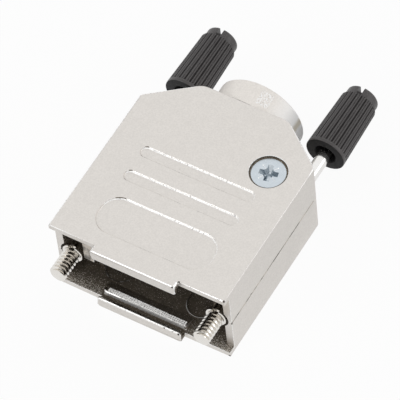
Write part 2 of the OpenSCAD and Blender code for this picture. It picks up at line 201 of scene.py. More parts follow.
class HoodStage(bpy.types.PropertyGroup):
    floor: colour("Floor", "Colour of the floor", (0.93, 0.93, 0.93))
    key_power: bpy.props.FloatProperty(
        name="Key power", description="Power of the key light", default=1.6, min=0.0
    )
    fill: bpy.props.FloatProperty(
        name="Fill", description="Strength of the soft light all round", default=0.62, min=0.0
    )


GROUPS = {
    "hood_casting": HoodCasting,
    "hood_threads": HoodThreads,
    "hood_knobs": HoodKnobs,
    "hood_screws": HoodScrews,
    "hood_stage": HoodStage,
}


# --- modelling helpers --------------------------------------------------------


def deselect():
    bpy.ops.object.select_all(action="DESELECT")


def select_whole():
    """Selects the whole mesh in edit mode."""
    bpy.ops.mesh.select_all(action="SELECT")


def activate(piece):
    """Makes the piece the only one selected, in object mode."""
    if bpy.context.object and bpy.context.object.mode != "OBJECT":
        bpy.ops.object.mode_set(mode="OBJECT")
    deselect()
    piece.select_set(True)
    bpy.context.view_layer.objects.active = piece


def edit(piece, kind="FACE"):
    """Opens the piece in edit mode with nothing selected."""
    activate(piece)
    bpy.ops.object.mode_set(mode="EDIT")
    bpy.ops.mesh.select_mode(type=kind)
    bpy.ops.mesh.select_all(action="DESELECT")


def done():
    bpy.ops.object.mode_set(mode="OBJECT")


def pick(piece, kind, test):
    """Selects the vertices, edges or faces that pass a test, and nothing else."""
    bpy.ops.mesh.select_mode(type=kind)
    bpy.ops.mesh.select_all(action="DESELECT")
    mesh = bmesh.from_edit_mesh(piece.data)
    mesh.normal_update()
    for part in {"VERT": mesh.verts, "EDGE": mesh.edges, "FACE": mesh.faces}[kind]:
        if test(part):
            part.select = True
    mesh.select_flush_mode()
    bmesh.update_edit_mesh(piece.data)


def bevel(width, segments=3, profile=0.5):
    bpy.ops.mesh.bevel(
        offset_type="OFFSET", offset=width, segments=segments, profile=profile,
        affect="EDGES", clamp_overlap=False, loop_slide=True,
    )


def extrude(by):
    """Extrudes what is selected and moves it."""
    bpy.ops.mesh.extrude_region_move(TRANSFORM_OT_translate={"value": by})


def scale(value, about=(0, 0, 0)):
    bpy.ops.transform.resize(value=value, center_override=about)


def new_piece(name):
    """Names the primitive just added, with its place put into its mesh."""
    piece = bpy.context.object
    piece.name = name
    piece.data.name = name
    bpy.ops.object.transform_apply(location=True, rotation=True, scale=True)
    return piece


def cylinder(name, radius, depth, centre, along="Y", vertices=64):
    deselect()
    turn = {"Y": (-math.pi / 2, 0, 0), "Z": (0, 0, 0)}[along]
    bpy.ops.mesh.primitive_cylinder_add(
        vertices=vertices, radius=radius, depth=depth, location=centre, rotation=turn
    )
    return new_piece(name)


def block(name, low, high):
    low, high = Vector(low), Vector(high)
    deselect()
    bpy.ops.mesh.primitive_cube_add(size=1, location=(low + high) / 2, scale=high - low)
    return new_piece(name)


def combine(piece, tool, operation):
    """Adds the tool to the piece, or cuts it away, and removes the tool."""
    activate(piece)
    modifier = piece.modifiers.new("Combine", "BOOLEAN")
    modifier.operation = operation
    modifier.solver = "EXACT"
    modifier.object = tool
    bpy.ops.object.modifier_apply(modifier=modifier.name)
    bpy.data.objects.remove(tool)


def attach(piece, tool):
    """Joins a closed shape into the piece, sunk into it at its foot."""
    activate(piece)
    tool.select_set(True)
    bpy.ops.object.join()


def outward(piece):
    """Welds the mesh, drops faces of no size and turns the rest to face outwards."""
    edit(piece)
    select_whole()
    bpy.ops.mesh.remove_doubles(threshold=WELD)
    bpy.ops.mesh.dissolve_degenerate(threshold=WELD)
    bpy.ops.mesh.normals_make_consistent(inside=False)
    done()


def copy_of_node(node, name):
    """A copy of a CAD node as one welded mesh with whole flat faces."""
    activate(frame["nodes"][node])
    bpy.ops.object.duplicate()
    piece = bpy.context.object
    bpy.ops.object.parent_clear(type="CLEAR_KEEP_TRANSFORM")
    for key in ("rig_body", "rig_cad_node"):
        if key in piece:
            del piece[key]
    piece.name = name
    piece.data.name = name
    piece.data.materials.clear()
    edit(piece, "VERT")
    select_whole()
    bpy.ops.mesh.customdata_custom_splitnormals_clear()
    bpy.ops.mesh.remove_doubles(threshold=WELD)
    bpy.ops.mesh.dissolve_limited(angle_limit=math.radians(0.2))
    done()
    return piece


def copy_piece(piece, name, move):
    """A copy with its own mesh, moved by a matrix."""
    activate(piece)
    bpy.ops.object.duplicate()
    copy = bpy.context.object
    copy.name = name
    copy.data.name = name
    copy.data.transform(move)
    copy.data.update()
    return copy


def smooth(piece, degrees):
    activate(piece)
    bpy.ops.object.shade_smooth_by_angle(angle=math.radians(degrees))


def add_skins(piece, *skins):
    for skin in skins:
        piece.data.materials.append(skin)


def place(piece, node, body):
    """Finishes a piece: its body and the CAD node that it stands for."""
    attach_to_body(piece, body)
    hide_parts(node)


def place_both(piece, part, body):
    """Places a piece of the right-hand side, and a copy of it on the left."""
    left = copy_piece(piece, piece.name.replace("right", "left"), TO_LEFT)
    place(left, f"left_{part}", f"left_{body}")
    place(piece, f"right_{part}", f"right_{body}")


# --- material helpers ---------------------------------------------------------


class Finish:
    """A node material being put together."""

    def __init__(self, name):
        self.material = bpy.data.materials.new(name)
        self.material.use_nodes = True
        self.tree = self.material.node_tree
        self.tree.nodes.clear()
        self.output = self.tree.nodes.new("ShaderNodeOutputMaterial")
        self.shader = self.tree.nodes.new("ShaderNodeBsdfPrincipled")
        self.tree.links.new(self.shader.outputs["BSDF"], self.output.inputs["Surface"])
        self.coordinates = self.tree.nodes.new("ShaderNodeTexCoord").outputs["Object"]

    def give(self, socket, value):
        """Links a socket to the value, or sets it when the value is plain."""
        if isinstance(value, bpy.types.NodeSocket):
            self.tree.links.new(value, socket)
        else:
            socket.default_value = value

    def node(self, kind, inputs=(), **values):
        node = self.tree.nodes.new(kind)
        for key, value in values.items():
            setattr(node, key, value)
        for key, value in dict(inputs).items():
            self.give(node.inputs[key], value)
        return node

    def set(self, **values):
        """Gives the shader its values, by the names of its sockets."""
        for key, value in values.items():
            self.give(self.shader.inputs[key.replace("_", " ")], value)

    def mapped(self, scale=(1, 1, 1), location=(0, 0, 0)):
        return self.node(
            "ShaderNodeMapping",
            {"Vector": self.coordinates, "Scale": scale, "Location": location},
        ).outputs["Vector"]

    def axes(self):
        """X, Y and Z of the point, each on its own."""
        return self.node("ShaderNodeSeparateXYZ", {"Vector": self.mapped()}).outputs

    def noise(self, scale, detail=2.0, vector=None):
        return self.node(
            "ShaderNodeTexNoise",
            {"Vector": vector or self.mapped(), "Scale": scale, "Detail": detail},
        ).outputs["Fac"]

    def specks(self, scale, vector=None):
        """Distance from the middle of scattered spots."""
        return self.node(
            "ShaderNodeTexVoronoi", {"Vector": vector or self.mapped(), "Scale": scale}
        ).outputs["Distance"]

    def remap(self, value, low, high, to_low=0.0, to_high=1.0):
        return self.node(
            "ShaderNodeMapRange",
            {"Value": value, "From Min": low, "From Max": high,
             "To Min": to_low, "To Max": to_high},
        ).outputs["Result"]

    def rough(self, noise, low, high):
        """Roughness between two values, by a noise that keeps to 0.3 to 0.7."""
        return self.remap(noise, 0.3, 0.7, low, high)

    def maths(self, operation, a, b=0.0):
        return self.node("ShaderNodeMath", {0: a, 1: b}, operation=operation).outputs[0]

    def both(self, a, b):
        """Product of two masks."""
        return self.maths("MULTIPLY", a, b)

    def apart(self, a, b):
        return self.maths("ABSOLUTE", self.maths("SUBTRACT", a, b))

    def mix(self, factor, a, b):
        a, b = (
            tone if isinstance(tone, bpy.types.NodeSocket) else (*tone[:3], 1.0)
            for tone in (a, b)
        )
        return self.node(
            "ShaderNodeMix", {0: factor, 6: a, 7: b}, data_type="RGBA"
        ).outputs[2]

    def bump(self, height, distance, normal=None):
        inputs = {"Height": height, "Distance": distance}
        if normal is not None:
            inputs["Normal"] = normal
        out = self.node("ShaderNodeBump", inputs).outputs["Normal"]
        self.set(Normal=out)
        return out


def shade(tone, by):
    return tuple(min(1.0, c * by) for c in tone)


def chipped(f, base):
    """The base colour with a small dark chip at each place where the plating is gone."""
    at = f.mapped()
    worn = 0.0
    for *centre, radius in CHIPS:
        gap = f.node(
            "ShaderNodeVectorMath", {0: at, 1: [c * MM for c in centre]}, operation="DISTANCE"
        ).outputs["Value"]
        spot = f.remap(gap, radius * MM, 0.6 * radius * MM)
        worn = f.maths("MAXIMUM", spot, worn)
    return f.mix(worn, base, BARE_METAL)


def satin_ground(f, tone):
    """Fine-grained satin nickel, mottled, with specks and pits: colour, grain and normal."""
    cloud = f.noise(900, 3)
    grain = f.noise(4300, 2)
    base = f.mix(f.remap(cloud, 0.35, 0.65), shade(tone, 0.985), shade(tone, 1.015))
    base = f.mix(f.remap(grain, 0.35, 0.65, 0.0, 0.5), base, shade(tone, 0.88))
    light = f.remap(f.specks(900), 0.035, 0.02)
    base = f.mix(light, base, (0.97, 0.97, 0.95))
    pits = f.remap(f.specks(420, f.mapped(location=(0.013, 0.007, 0.002))), 0.022, 0.012)
    return f.mix(pits, base, PIT), grain, f.bump(grain, 0.008 * MM)


def satin_nickel(tone):
    """Satin nickel on a fine-grained casting."""
    f = Finish("satin_nickel_casting")
    base, grain, _ = satin_ground(f, tone)
    f.set(Base_Color=chipped(f, base), Metallic=1.0, Roughness=f.rough(grain, 0.38, 0.5))
    return f.material


def collar_nickel(tone):
    """Duller satin nickel of the collar's rim, with a torn gate patch, painted light towards its
    right side and a painted reflection of the knob.
    """
    f = Finish("satin_nickel_collar")
    base, grain, normal = satin_ground(f, tone)
    at = f.axes()
    across = f.remap(f.apart(at["X"], 2.1 * MM), 1.1 * MM, 0.9 * MM)
    along = f.remap(f.apart(at["Y"], 34 * MM), 1.4 * MM, 1.2 * MM)
    patch = f.both(f.both(across, along), f.remap(at["Z"], 12 * MM, 12.5 * MM))
    torn = f.noise(4600, 3)
    base = f.mix(f.both(patch, f.remap(torn, 0.5, 0.6)), base, (0.99, 0.99, 0.99))
    base = f.mix(
        f.both(patch, f.remap(torn, 0.42, 0.36, 0.0, 0.35)), base, (0.45, 0.44, 0.43)
    )
    f.bump(f.both(patch, torn), 0.02 * MM, normal)
    # painted light: lighter towards the right side
    base = f.mix(f.remap(at["X"], 3 * MM, 7.2 * MM), base, shade(tone, 1.3))
    # painted reflection of the right-hand knob: a tan band on the collar's side
    band = f.both(
        f.remap(at["X"], 6.65 * MM, 6.9 * MM), f.remap(at["X"], 7.45 * MM, 7.25 * MM)
    )
    knob_reflection = f.both(band, f.remap(at["Z"], 9 * MM, 9.5 * MM))
    base = f.mix(knob_reflection, base, (0.72, 0.67, 0.58))
    metal = f.remap(at["X"], 5.2 * MM, 7.2 * MM, 0.6, 0.15)
    f.set(Base_Color=chipped(f, base), Metallic=metal, Roughness=f.rough(grain, 0.6, 0.7))
    return f.material


def bright_edge(tone, name="nickel_edge_painted_highlight", rough=(0.2, 0.34)):
    """Painted highlight of bright nickel, broken by darker spots: for the edges and the knurl."""
    f = Finish(name)
    grain = f.noise(3600, 3)
    highlight_breaks = f.remap(f.noise(2900, 2, f.mapped(location=(0.02, 0.01, 0.0))), 0.6, 0.66)
    base = f.mix(f.remap(grain, 0.35, 0.6), shade(tone, 0.82), tone)
    base = chipped(f, f.mix(highlight_breaks, base, shade(tone, 0.5)))
    f.set(Base_Color=base, Metallic=1.0, Roughness=f.rough(grain, *rough))
    f.bump(grain, 0.02 * MM)
    return f.material


def pale_burr(tone, name="pale_burr", partly=True):
    """Matt pale metal. With partly set, painted shade all over, broken by light dots, but for a
    painted highlight on the front arc of the right-hand ejector mark.
    """
    f = Finish(name)
    grain = f.noise(2600, 2)
    base = f.mix(f.remap(grain, 0.35, 0.65), shade(tone, 0.75), tone)
    if partly:
        at = f.axes()
        # painted highlight on the front arc of the right-hand mark; painted shade elsewhere
        highlit = f.both(
            f.remap(at["X"], 4.5 * MM, 4.8 * MM), f.remap(at["Y"], 4.3 * MM, 3 * MM)
        )
        dots = f.remap(f.noise(1500, 2), 0.56, 0.64, 0.03, 0.35)
        base = f.mix(f.maths("MAXIMUM", highlit, dots), BURR_SHADE, base)
    f.set(Base_Color=base, Metallic=0.1, Roughness=f.rough(grain, 0.4, 0.6))
    f.bump(grain, 0.01 * MM)
    return f.material


def joint_line(tone):
    """Dark joint between the halves, and painted shade at the foot of small edges and on the
    webs' front.
    """
    f = Finish("joint_shadow")
    grain = f.noise(700, 4)
    base = f.mix(f.remap(grain, 0.38, 0.58), shade(tone, 0.6), shade(tone, 2.6))
    f.set(Base_Color=base, Metallic=0.4, Roughness=f.rough(grain, 0.5, 0.7))
    f.bump(grain, 0.02 * MM)
    return f.material


def dark_cavity(tone):
    """Thin dark plating inside the casting, darkened further as painted shade, rough and full of
    light grains.
    """
    f = Finish("dark_cavity_casting")
    grain = f.noise(5600, 3)
    at = f.axes()
    # more light grains near the mouth beside the rib: painted light where light comes in
    beside = f.remap(f.maths("ABSOLUTE", at["X"]), 7.2 * MM, 7.8 * MM)
    front = f.both(f.remap(at["Y"], 1.8 * MM, -1.2 * MM), beside)
    least = f.remap(front, 0.0, 1.0, 0.6, 0.45)
    grains = f.remap(grain, least, f.maths("ADD", least, 0.12))
    base = f.mix(f.noise(900, 2), shade(tone, 0.7), shade(tone, 1.5))
    stars = f.remap(f.specks(1500), 0.09, 0.03)
    base = f.mix(f.maths("MAXIMUM", grains, stars), base, (0.8, 0.75, 0.68))
    f.set(Base_Color=base, Metallic=0.6, Roughness=f.rough(grain, 0.45, 0.7))
    f.bump(grain, 0.03 * MM)
    return f.material


def bright_nickel(tone):
    """Bright nickel on turned steel, with fine marks round the axis."""
    f = Finish("bright_nickel_steel")
    turned = f.noise(1500, 2, f.mapped(scale=(0.4, 6.0, 0.4)))
    base = f.mix(turned, shade(tone, 0.93), shade(tone, 1.05))
    base = f.mix(f.remap(f.axes()["Y"], 9 * MM, 4 * MM), base, (0.8, 0.775, 0.735))
    f.set(Base_Color=base, Metallic=1.0, Roughness=f.rough(turned, 0.08, 0.16))
    f.bump(turned, 0.001 * MM)
    return f.material


def blue_zinc(tone, name="blue_zinc_plating", rough=(0.26, 0.36)):
    """Bluish zinc plating, slightly cloudy."""
    f = Finish(name)
    cloud = f.noise(900, 3)
    base = f.mix(cloud, shade(tone, 0.92), shade(tone, 1.08))
    base = f.mix(f.remap(f.noise(3800, 2), 0.62, 0.7, 0.0, 0.35), base, (0.85, 0.88, 0.9))
    f.set(Base_Color=base, Metallic=1.0, Roughness=f.rough(cloud, *rough))
    f.bump(f.noise(3200, 2), 0.004 * MM)
    return f.material


def black_nylon(tone):
    """Black moulded plastic with a faint sheen and a little dust."""
    f = Finish("black_moulded_plastic")
    cloud = f.noise(700, 3)
    grain = f.noise(4200, 2)
    base = f.mix(cloud, shade(tone, 0.75), shade(tone, 1.3))
    base = f.mix(f.remap(grain, 0.55, 0.7, 0.0, 0.35), base, (0.2, 0.19, 0.185))
    dust = f.remap(f.specks(1100), 0.035, 0.018, 0.0, 0.85)
    base = f.mix(dust, base, (0.6, 0.57, 0.53))
    f.set(Base_Color=base, Metallic=0.0, Roughness=f.rough(cloud, 0.34, 0.44))
    f.bump(grain, 0.006 * MM)
    return f.material


def dull_nylon(tone, name="dull_moulded_plastic"):
    """The same plastic, duller and darker: dark on the front face, with painted shade in the
    mouth and in the grooves of the flutes.
    """
    f = Finish(name)
    cloud = f.noise(1600, 3)
    base = f.mix(cloud, shade(tone, 0.6), shade(tone, 1.5))
    f.set(Base_Color=base, Metallic=0.0, Roughness=f.rough(cloud, 0.55, 0.68))
    f.set(Specular_IOR_Level=0.25)
    f.bump(f.noise(3600, 2), 0.008 * MM)
    return f.material


# --- the two half shells ------------------------------------------------------


def edge_test(to_drawing, test, angle):
    """A test of an edge's two ends in the drawing, for edges sharper than an angle."""
    limit = math.radians(angle)

    def passes(edge):
        if len(edge.link_faces) != 2 or edge.calc_face_angle(0.0) < limit:
            return False
        return test(*(to_drawing @ vert.co for vert in edge.verts))

    return passes


def in_recess(p):
    return abs(p.x) < 10.0 * MM and 1.2 * MM < p.y < 18.2 * MM


def near_screw(p):
    return math.hypot(abs(p.x) - abs(SCREW_X), p.y - SCREW_Y) < 3.6 * MM


def both_at(height, a, b):
    return abs(a.z - height) < NEAR and abs(b.z - height) < NEAR


def outline(height, inside):
    """Test for the edges at a height, inside the recesses or outside them."""
    return lambda a, b: (
        both_at(height, a, b)
        and in_recess(a) == inside and not near_screw(a) and max(a.y, b.y) > CLIP_FRONT
    )


def screw_seat(a, b):
    return both_at(0.0, a, b) and near_screw(a) and near_screw(b)


def clip_top(a, b):
    return max(a.y, b.y) < CLIP_FRONT and min(a.z, b.z) > 1.6 * MM


def clip_foot(a, b):
    return max(a.y, b.y) < CLIP_FRONT and max(a.z, b.z) < 0.6 * MM


def mouth_edge(a, b):
    return max(a.y, b.y) < 1.7 * MM and min(a.z, b.z) > 0.2 * MM


def collar_rim(a, b):
    return min(a.y, b.y) > CAST_HIGH.y


def knurled_strip(sizes):
    """Band of small points that stands on the contact rib of the lower drawing."""
    left, right = -RIB_END + 0.7 * MM, RIB_END - 0.25 * MM
    front, back = RIB_FRONT + 0.1 * MM, RIB_BACK - 0.05 * MM
    across = 2 * round((right - left) / (1.2 * sizes.knurl_pitch))
    along = 2 * round((back - front) / sizes.knurl_pitch)
    valley = RIB_TOP - sizes.rib_drop - sizes.knurl_height + 0.01 * MM
    sunk = 0.4 * MM
    lean = 0.22 * sizes.knurl_pitch
    deselect()
    bpy.ops.mesh.primitive_grid_add(
        x_subdivisions=across, y_subdivisions=along, size=1,
        location=((left + right) / 2, (front + back) / 2, valley),
    )
    bpy.ops.transform.resize(value=(right - left, back - front, 1))
    strip = new_piece("knurl")

    def is_point(vert):
        i = round((vert.co.x - left) / (right - left) * across)
        j = round((vert.co.y - front) / (back - front) * along)
        return i % 2 == 1 and j % 2 == 1

    edit(strip, "VERT")
    pick(strip, "VERT", is_point)
    bpy.ops.transform.translate(value=(0, lean, sizes.knurl_height))
    select_whole()
    extrude((0, 0, -sunk))
    scale((1, 1, 0), (0, 0, valley - sunk))
    done()
    outward(strip)
    return strip


def ejector_burr(side, sizes):
    """Thin burr left round an ejector mark of the lower drawing."""
    deep, wall = 0.4 * MM, 0.1 * MM
    ring = cylinder(
        "burr", MARK_R + wall / 2, deep,
        (side * MARK_X, MARK_Y, PLATE + sizes.burr - deep / 2), "Z", 72,
    )
    edit(ring)
    pick(ring, "FACE", lambda f: abs(f.normal.z) > 0.9)
    bpy.ops.mesh.inset(thickness=wall)
    bpy.ops.mesh.bridge_edge_loops()
    done()
    outward(ring)
    return ring


def cover_web(sizes):
    """Wide front of the web beside the left thumbscrew, in the cover."""
    web_x = -CAST_HIGH.x + 5.1 * MM
    web = block(
        "web", (web_x - 0.3 * MM, 0.005 * MM, AXIS_Z + 0.004 * MM),
        (web_x - 0.55 * MM + sizes.web_width, 1.1 * MM, HEIGHT - 1.0 * MM),
    )

    def shows(vert):
        return vert.co.y < 0.1 * MM or vert.co.z < AXIS_Z + 0.1 * MM

    edit(web, "EDGE")
    pick(web, "EDGE", lambda e: all(shows(v) for v in e.verts))
    bevel(sizes.fine_edge, 2)
    done()
    return web


def model_shell(name, node, to_drawing, sizes):
    """Half shell over its CAD node, with a matrix that takes it to the drawing."""
    upper = node == "cover_shell"
    shell = copy_of_node(node, name)
    drop = sizes.knurl_height + sizes.rib_drop

    def round_edges(test, width, segments=3, angle=50):
        pick(shell, "EDGE", edge_test(to_drawing, test, angle))
        bevel(width, segments)

    def on_rib(p):
        return (
            abs(p.z - RIB_TOP) < 0.1 * MM and abs(p.x) < RIB_END + 0.01 * MM
            and RIB_FRONT - 0.01 * MM < p.y < RIB_BACK + 0.01 * MM
        )

    def rib_left_end(a, b):
        return (
            both_at(RIB_TOP - drop, a, b) and max(a.x, b.x) < -RIB_END + 0.6 * MM
            and RIB_FRONT - NEAR < min(a.y, b.y) and max(a.y, b.y) < RIB_BACK + NEAR
        )

    edit(shell, "EDGE")
    pick(shell, "VERT", lambda v: on_rib(to_drawing @ v.co))
    bpy.ops.transform.translate(value=(0, 0, drop if upper else -drop))
    round_edges(rib_left_end, 0.3 * MM, 4)
    pick(shell, "VERT", lambda v: v.co.y > CAST_HIGH.y - 0.5 * MM)
    bpy.ops.transform.translate(value=(0, sizes.collar_end, 0))
    round_edges(screw_seat, 0.07 * MM, 2)
    round_edges(clip_top, 0.26 * MM, 4)
    round_edges(clip_foot, sizes.edge)
    round_edges(outline(0.0, inside=False), sizes.edge)
    round_edges(outline(0.0, inside=True), 0.05 * MM, 2)
    round_edges(outline(RECESS, inside=True), sizes.recess_fillet, 4)
    round_edges(mouth_edge, sizes.fine_edge, 2)
    round_edges(collar_rim, 0.08 * MM, 2, angle=30)
    done()
    for tool in (knurled_strip(sizes), ejector_burr(-1, sizes), ejector_burr(1, sizes)):
        tool.data.transform(to_drawing.inverted())
        attach(shell, tool)
    if upper:
        attach(shell, cover_web(sizes))
    smooth(shell, 13)
    return shell


class OBJECT_OT_hood_shells(bpy.types.Operator):
    """Half shells: rounded edges, filleted recesses and a knurled contact rib"""

    bl_idname = "object.hood_shells"
    bl_label = "Half shells"

    def execute(self, context):
        sizes = context.scene.hood_casting
        skins = (
            satin_nickel(sizes.nickel), dark_cavity(sizes.inside),
            bright_edge(sizes.edges), joint_line(sizes.joint), pale_burr(sizes.edges),
            # the collar: a lighter copy of the nickel, as painted light
            collar_nickel(shade(sizes.nickel, 1.22)),
            pale_burr(sizes.edges, "dull_rib_face", False),
            # the knurl: nearly white, as a painted highlight
            bright_edge((1.0, 0.99, 0.97), "knurl_painted_highlight", (0.1, 0.2)),
        )
        for node, to_drawing in (("base_shell", Matrix()), ("cover_shell", TURN_OVER)):
            shell = model_shell(f"{node}_casting", node, to_drawing, sizes)
            add_skins(shell, *skins)
            turn = to_drawing.to_3x3()
            for face in shell.data.polygons:
                face.material_index = skin_of(
                    to_drawing @ face.center, turn @ face.normal, face.area
                )
            place(shell, node, "hood")
        return {"FINISHED"}


def skin_of(centre, normal, area):
    """The skin of a face of the lower drawing; the first test that it passes decides."""
    x, y, z = abs(centre.x), centre.y, centre.z
    # joint between the halves, along the side walls
    if x > 15.0 * MM and AXIS_Z - 0.16 * MM < z and abs(normal.z) > 0.2:
        return JOINT_AND_SHADE
    # walls of the recesses, by the way they face in the drawing: painted shade on the upper part
    # of walls facing -y and a little -x, a painted highlight on other walls facing -y or +x,
    # painted shade on walls facing +y
    if in_recess(centre) and 0.002 * MM < z < RECESS - 0.002 * MM:
        if normal.y < -0.1 and 0.08 < normal.x / normal.y < 0.8 and z < 0.16 * MM:
            return CAVITY_SHADE
        if normal.y < -0.15 or normal.x > 0.3:
            return PAINTED_HIGHLIGHT
        return JOINT_AND_SHADE if normal.y > 0.3 and normal.x > -0.35 else SATIN
    # screw hole: painted highlight on the bevel of its rim, painted shade down its wall
    screw = math.hypot(x - abs(SCREW_X), y - SCREW_Y)
    if screw < HEAD_R + 0.4 * MM and z < 0.6 * MM and (z > 0.1 * MM or -0.97 < normal.z):
        return PAINTED_HIGHLIGHT if normal.z < -0.3 and z < 0.08 * MM else CAVITY_SHADE
    # slot behind the clip: painted shade
    if y < RIB_FRONT + 0.02 * MM and x < 7.4 * MM and PLATE - 0.1 * MM < z < 2.1 * MM:
        if normal.y > -0.5 and y > -2.45 * MM:
            return CAVITY_SHADE
    # bevels along the outer face, and the small ones at the mouth: painted highlight
    if z < 0.2 * MM and y < 30.0 * MM and -0.97 < normal.z < -0.2:
        return PAINTED_HIGHLIGHT
    if y < 0.2 * MM and area < 1.5e-6 and max(abs(c) for c in normal) < 0.97:
        return PAINTED_HIGHLIGHT
    # ejector marks, with painted highlight and shade on the burr, the knurl with a painted
    # highlight, and the collar with painted light and a painted reflection
    mark = math.hypot(x - MARK_X, y - MARK_Y)
    if abs(mark - MARK_R) < 0.12 * MM and PLATE - 0.005 * MM < z < PLATE + 0.2 * MM:
        return BURR
    if y < RIB_BACK and 1.85 * MM < z < RIB_TOP and x < RIB_END:
        return KNURL
    if y > 31.95 * MM and math.hypot(x, z - AXIS_Z) > 6.5 * MM:
        return COLLAR
    # front end of the webs beside the thumbscrews, in painted shade, and the rib's front
    if 8.2 * MM < x < 10.5 * MM and -0.02 * MM < y < 0.1 * MM and 1.2 * MM < z:
        return JOINT_AND_SHADE
    if abs(y - RIB_FRONT) < 0.03 * MM and normal.y < -0.9 and z < 2.1 * MM and x < RIB_END:
        return RIB_FACE
    # the rest of the cavity: dark plating, darkened further as painted shade
    return CAVITY_SHADE if is_inside(centre, normal) else SATIN


def is_inside(centre, normal):
    """Whether a face of the lower drawing lies in the cavity."""
    x, y, z = abs(centre.x), centre.y, centre.z
    outer_walls = z < 0.85 * MM or z > 7.38 * MM or x > 14.0 * MM or y < -1.2 * MM
    collar_bore = math.hypot(x, z - AXIS_Z) < 5.3 * MM and y > 30.5 * MM
    rear_chamfer = 0.61 * x + 0.79 * y > 29.4 * MM
    rib = y < RIB_BACK + 0.05 * MM and z > 1.2 * MM and x < 7.6 * MM
    front_end = normal.y < -0.5 and y < 0.5 * MM
    if outer_walls or collar_bore or rear_chamfer or rib or front_end:
        return False
    return y < 31.0 * MM


# --- jackscrews and their rings -----------------------------------------------


def threaded_rod(name, sizes, end):
    """Helical thread from the tip to a place along Y, with a chamfered front end."""
    pitch = sizes.pitch
    root = THREAD_R - sizes.depth
    flank, crest = 0.24 * pitch, 0.3 * pitch
    profile = (
        (root, 0.0), (root, pitch - 2 * flank - crest),
        (THREAD_R, pitch - flank - crest), (THREAD_R, pitch - flank), (root, pitch),
    )
    deselect()
    bpy.ops.mesh.primitive_plane_add(size=pitch, location=(0, 0, 0))
    rod = new_piece(name)
    edit(rod, "VERT")
    select_whole()
    bpy.ops.mesh.delete(type="VERT")
    mesh = bmesh.from_edit_mesh(rod.data)
    points = [mesh.verts.new((r, y, 0)) for r, y in profile]
    for a, b in zip(points, points[1:]):
        mesh.edges.new((a, b))
    bmesh.update_edit_mesh(rod.data)
    done()
    modifier = rod.modifiers.new("Thread", "SCREW")
    modifier.axis = "Y"
    modifier.angle = 2 * math.pi
    modifier.screw_offset = pitch
    modifier.iterations = math.ceil((end - TIP) / pitch) + 2
    modifier.steps = modifier.render_steps = TURN_STEPS
    modifier.use_merge_vertices = True
    modifier.merge_threshold = 1e-7
    activate(rod)
    bpy.ops.object.modifier_apply(modifier=modifier.name)
    edit(rod, "VERT")
    select_whole()
    bpy.ops.mesh.remove_doubles(threshold=WELD)
    bpy.ops.transform.translate(value=(JACK_X, TIP - 1.5 * pitch, AXIS_Z))
    for at, outer in ((TIP - 0.1 * MM, True), (end, False)):
        select_whole()
        bpy.ops.mesh.bisect(
            plane_co=(0, at, 0), plane_no=(0, 1, 0), use_fill=True,
            clear_inner=outer, clear_outer=not outer, threshold=1e-8,
        )
    done()
    outward(rod)
    envelope = cylinder(
        "envelope", THREAD_R + 0.002 * MM, end - TIP + 0.2 * MM,
        (JACK_X, (TIP + end) / 2 + 0.1 * MM, AXIS_Z),
    )
    edit(envelope, "EDGE")
    pick(envelope, "EDGE", lambda e: all(v.co.y < TIP + 0.01 * MM for v in e.verts))
    bevel(sizes.tip_chamfer, 2, 0.6)
    done()
    combine(rod, envelope, "INTERSECT")
    return rod


def model_jackscrew(name, sizes):
    """Jackscrew on the right-hand axis: thread, ring groove and plain shank."""
    play = 0.05 * MM
    groove_front, groove_back = RING_LOW.y - play, RING_HIGH.y + play
    rod = threaded_rod(name, sizes, groove_front)
    shank = cylinder(
        "shank", 1.1 * MM, TAIL - groove_back, (JACK_X, (TAIL + groove_back) / 2, AXIS_Z)
    )
    edit(shank)
    pick(shank, "FACE", lambda f: f.normal.y < -0.9)
    bpy.ops.mesh.inset(thickness=0.3 * MM)
    extrude((0, groove_front - groove_back - 0.4 * MM, 0))
    done()
    combine(rod, shank, "UNION")
    outward(rod)
    return rod


def model_ring(name):
    """Snap ring on the right-hand axis, sprung open at the upper right."""
    inner, outer = 0.85 * MM, RING_HIGH.z - AXIS_Z
    half_gap, gap_at = math.radians(20), math.radians(50)
    centre = (JACK_X, 0, AXIS_Z)
    deselect()
    bpy.ops.mesh.primitive_plane_add(
        size=1,
        location=(JACK_X + (inner + outer) / 2, (RING_LOW.y + RING_HIGH.y) / 2, AXIS_Z),
    )
    bpy.ops.transform.resize(value=(outer - inner, RING_HIGH.y - RING_LOW.y, 1))
    ring = new_piece(name)
    split = JACK_X + inner + 0.1 * MM
    edit(ring, "VERT")
    pick(ring, "VERT", lambda v: v.co.x > split)
    bpy.ops.mesh.bevel(offset=0.12 * MM, segments=3, affect="VERTICES")
    pick(ring, "VERT", lambda v: v.co.x < split)
    bpy.ops.mesh.bevel(offset=0.06 * MM, segments=2, affect="VERTICES")
    select_whole()
    bpy.ops.transform.rotate(value=gap_at + half_gap, orient_axis="Y", center_override=centre)
    bpy.ops.mesh.spin(
        steps=TURN_STEPS, angle=2 * math.pi - 2 * half_gap, center=centre,
        axis=(0, -1, 0),
    )
    done()
    outward(ring)
    return ring


class OBJECT_OT_hood_jackscrews(bpy.types.Operator):
    """Jackscrews and snap rings: helical thread, ring groove and plain shank"""

    bl_idname = "object.hood_jackscrews"
    bl_label = "Jackscrews and rings"

    def execute(self, context):
        sizes = context.scene.hood_threads
        steel = bright_nickel(sizes.steel)
        pin = model_jackscrew("right_jackscrew_turned", sizes)
        ring = model_ring("right_snap_ring")
        smooth(pin, 32)
        smooth(ring, 40)
        add_skins(pin, steel)
        add_skins(ring, steel)
        place_both(pin, "jackscrew", "thumbscrew")
        place_both(ring, "retaining_ring", "ring")
        return {"FINISHED"}


# --- knobs --------------------------------------------------------------------


